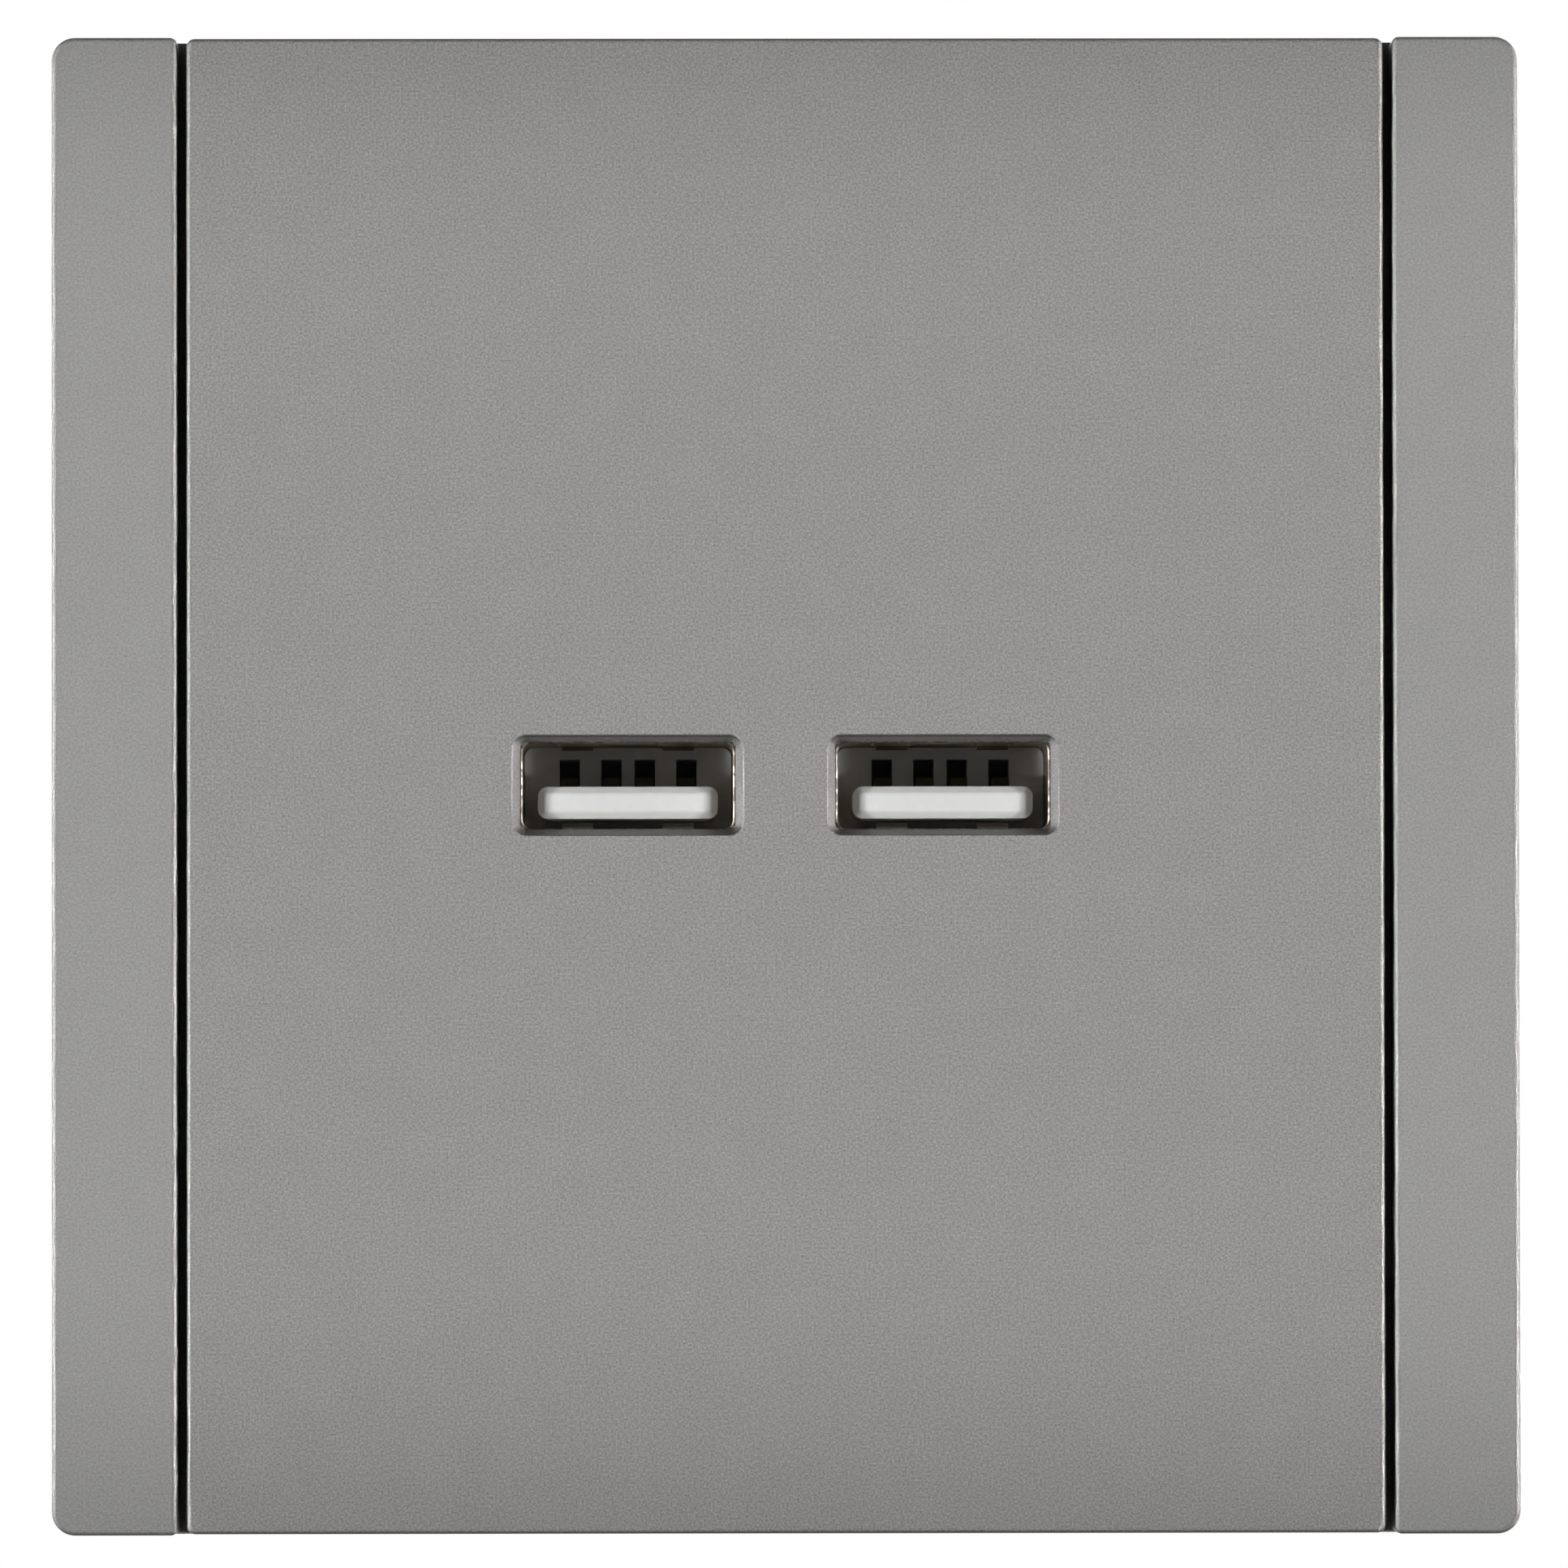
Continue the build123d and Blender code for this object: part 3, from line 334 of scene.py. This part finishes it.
def slot_materials():
    """One finish for each of the record's material slots."""
    return {
        "zinc_steel": zinc_steel(),
        "case_plastic": moulding("case_plastic", (0.028, 0.029, 0.031), 0.46, 0.22 * millimetre, 0.02 * millimetre),
        "screw_steel": screw_steel(),
        "board_laminate": board_laminate(),
        "chip_moulding": moulding("chip_moulding", (0.022, 0.022, 0.024), 0.55, 0.10 * millimetre, 0.006 * millimetre),
        "capacitor_can": capacitor_can(),
        "contact_metal": contact_metal(),
        "ferrite": moulding("ferrite", (0.060, 0.060, 0.064), 0.48, 0.16 * millimetre, 0.012 * millimetre),
        "bobbin_plastic": moulding("bobbin_plastic", (0.030, 0.030, 0.032), 0.42, 0.15 * millimetre, 0.006 * millimetre),
        "winding_tape": winding_tape(),
        "film_box": dipped("film_box", (0.58, 0.43, 0.08)),
        "disc_coating": dipped("disc_coating", (0.035, 0.13, 0.40)),
        "terminal_plastic": moulding("terminal_plastic", (0.30, 0.31, 0.32), 0.44, 0.18 * millimetre, 0.008 * millimetre),
        "nickel_sheet": nickel_sheet(),
        "insulator_plastic": insulator_plastic(),
    }


def dress_nodes():
    """Gives every CAD node the finish of its slot; the two lacquered plates have their own flake."""
    finishes = slot_materials()
    plates = {
        "cover_plate": lacquer("lacquer_cover", (0.334, 0.3275, 0.3195), 0.63),
        "surround_frame": lacquer("lacquer_frame", (0.353, 0.3505, 0.3425), 0.39),
    }
    for part in frame["record"]["subparts"]:
        node = frame["nodes"][part["node"]]
        node.data.materials.clear()
        node.data.materials.append(plates.get(part["node"]) or finishes[part["material_slot"]])


def softbox(name, place, target, width, height, power, spread_degrees):
    """A rectangular lamp that looks at a point."""
    lamp = bpy.data.lights.new(name, "AREA")
    lamp.shape = "RECTANGLE"
    lamp.size = width
    lamp.size_y = height
    lamp.energy = power
    lamp.spread = math.radians(spread_degrees)
    holder = bpy.data.objects.new(name, lamp)
    bpy.context.collection.objects.link(holder)
    holder.location = place
    holder.rotation_mode = "QUATERNION"
    holder.rotation_quaternion = (Vector(target) - Vector(place)).to_track_quat("-Z", "Y")
    holder.visible_camera = False


# Two softboxes light the front from the sides, a little from below
front_lamp_angle = 52.0
front_lamp_distance = 0.60
front_lamp_size = (0.11, 0.10)
front_lamp_power = 0.0199
front_lamp_spread = 5.0
front_lamp_aim_height = 0.002
front_lamp_drop = 0.030

# Smaller softboxes beside the plate graze its face and light what faces sideways
edge_lamp_place = (0.45, -0.07, 0.0)
edge_lamp_size = (0.05, 0.14)
edge_lamp_power = 1.15

# Larger softboxes behind, for the hidden sides
rear_lamp_place = (0.36, 0.75, 0.15)
rear_lamp_size = 0.45
rear_lamp_power = 1.2


def lights():
    angle = math.radians(front_lamp_angle)
    aim = plate_centre + Vector((0, 0, front_lamp_aim_height))
    for side, name in ((-1, "left"), (1, "right")):
        offset = Vector((side * math.sin(angle), -math.cos(angle), 0)) * front_lamp_distance
        offset.z = -front_lamp_drop
        softbox("front_" + name, aim + offset, aim, *front_lamp_size, front_lamp_power, front_lamp_spread)
        edge = Vector((side * edge_lamp_place[0], *edge_lamp_place[1:]))
        softbox("edge_" + name, edge, plate_centre, *edge_lamp_size, edge_lamp_power, 180.0)
        rear = Vector((side * rear_lamp_place[0], *rear_lamp_place[1:]))
        softbox("rear_" + name, rear, (0, 0, 0), rear_lamp_size, rear_lamp_size, rear_lamp_power, 180.0)


# How bright the room is for diffuse light; what the camera and reflections see of it is white
room_strength = 0.14


def room():
    """A white world for the camera, reflections and glass, and a soft fill for everything else."""
    world = bpy.data.worlds.new("studio")
    bpy.context.scene.world = world
    world.use_nodes = True
    nodes, links = world.node_tree.nodes, world.node_tree.links
    path = nodes.new("ShaderNodeLightPath")
    seen = path.outputs["Is Camera Ray"]
    for ray in ("Is Glossy Ray", "Is Transmission Ray"):
        either = nodes.new("ShaderNodeMath")
        either.operation = "MAXIMUM"
        links.new(seen, either.inputs[0])
        links.new(path.outputs[ray], either.inputs[1])
        seen = either.outputs["Value"]
    strength = nodes.new("ShaderNodeMapRange")
    strength.inputs["To Min"].default_value = room_strength
    strength.inputs["To Max"].default_value = 1.0
    links.new(seen, strength.inputs["Value"])
    background = nodes["Background"]
    background.inputs["Color"].default_value = (1.0, 1.0, 1.0, 1.0)
    links.new(strength.outputs["Result"], background.inputs["Strength"])


def panel(name, low, high):
    """A flat sheet between two opposite corners, level or facing along Y."""
    (x0, y0, z0), (x1, y1, z1) = low, high
    mesh = bpy.data.meshes.new(name)
    mesh.from_pydata([(x0, y0, z0), (x1, y0, z0), (x1, y1, z1), (x0, y1, z1)], [], [(0, 1, 2, 3)])
    sheet = bpy.data.objects.new(name, mesh)
    bpy.context.collection.objects.link(sheet)
    return sheet


# The floor lies below the picture's lower edge
floor_height = -0.100
floor_half = 1.6

# Corners of the black cards: above the plate, below it, and behind the camera; only the first two
# also take away soft light
card_corners = {
    "card_above": ((-0.36, -0.50, 0.26), (0.36, 0.0, 0.26)),
    "card_below": ((-0.36, -0.50, -0.095), (0.36, 0.0, -0.095)),
    "card_front": ((-0.65, -1.15, -0.09), (0.65, -1.15, 0.55)),
}


def pale_floor():
    """A pale floor that is near white to the camera and still takes the object's shadow."""
    sheet = panel("floor", (-floor_half, -floor_half, floor_height), (floor_half, floor_half, floor_height))
    finish = Finish("pale_floor", Roughness=0.7)
    cloud = finish.noise(60 * millimetre, detail=3.0)
    finish.feed("Base Color", finish.shades(cloud, (0.84, 0.84, 0.835), 0.02))
    glow = finish.nodes.new("ShaderNodeEmission")
    path = finish.nodes.new("ShaderNodeLightPath")
    seen = finish.combine("MAXIMUM", path.outputs["Is Camera Ray"], path.outputs["Is Glossy Ray"])
    share = finish.combine("MULTIPLY", seen, 0.5)
    mix = finish.nodes.new("ShaderNodeMixShader")
    finish.links.new(share, mix.inputs["Fac"])
    finish.links.new(finish.shader.outputs["BSDF"], mix.inputs[1])
    finish.links.new(glow.outputs["Emission"], mix.inputs[2])
    finish.links.new(mix.outputs["Shader"], finish.nodes["Material Output"].inputs["Surface"])
    sheet.data.materials.append(finish.material)


def dark_cards():
    """Unseen black cards, so that level edges and the insides of the ports stay dark."""
    finish = Finish("black_card", Roughness=0.9)
    finish.feed("Base Color", finish.shades(finish.noise(30 * millimetre), (0.01, 0.01, 0.01), 0.3))
    for name, corners in card_corners.items():
        sheet = panel(name, *corners)
        sheet.data.materials.append(finish.material)
        sheet.visible_camera = False
        sheet.visible_diffuse = name != "card_front"
        sheet.visible_shadow = False
        sheet.visible_transmission = False


def camera():
    """The photograph's camera: far off, a little to the left of the plate and a little below it."""
    left = math.radians(view_left_degrees)
    below = math.radians(view_below_degrees)
    away = Vector((-math.sin(left) * math.cos(below), -math.cos(left) * math.cos(below), -math.sin(below)))
    lens = bpy.data.cameras.new("camera")
    lens.sensor_width = sensor_width
    lens.lens = lens_length
    lens.clip_start = 0.01
    lens.clip_end = 20.0
    holder = bpy.data.objects.new("camera", lens)
    bpy.context.collection.objects.link(holder)
    holder.location = plate_centre + away * view_distance
    pixel = view_distance * sensor_width / lens_length / picture_size
    facing = (-away).to_track_quat("-Z", "Y")
    right, up = facing @ Vector((1, 0, 0)), facing @ Vector((0, 1, 0))
    shift_right = (plate_centre_pixel[0] - picture_size / 2) * pixel
    shift_down = (plate_centre_pixel[1] - picture_size / 2) * pixel
    aim = plate_centre - right * shift_right + up * shift_down
    facing = (aim - holder.location).to_track_quat("-Z", "Y")
    roll = Matrix.Rotation(math.radians(view_roll_degrees), 4, "Z")
    holder.rotation_mode = "QUATERNION"
    holder.rotation_quaternion = (facing.to_matrix().to_4x4() @ roll).to_quaternion()
    bpy.context.scene.camera = holder


dress_nodes()
lights()
room()
pale_floor()
dark_cards()
camera()
bpy.context.scene.view_settings.view_transform = "Standard"
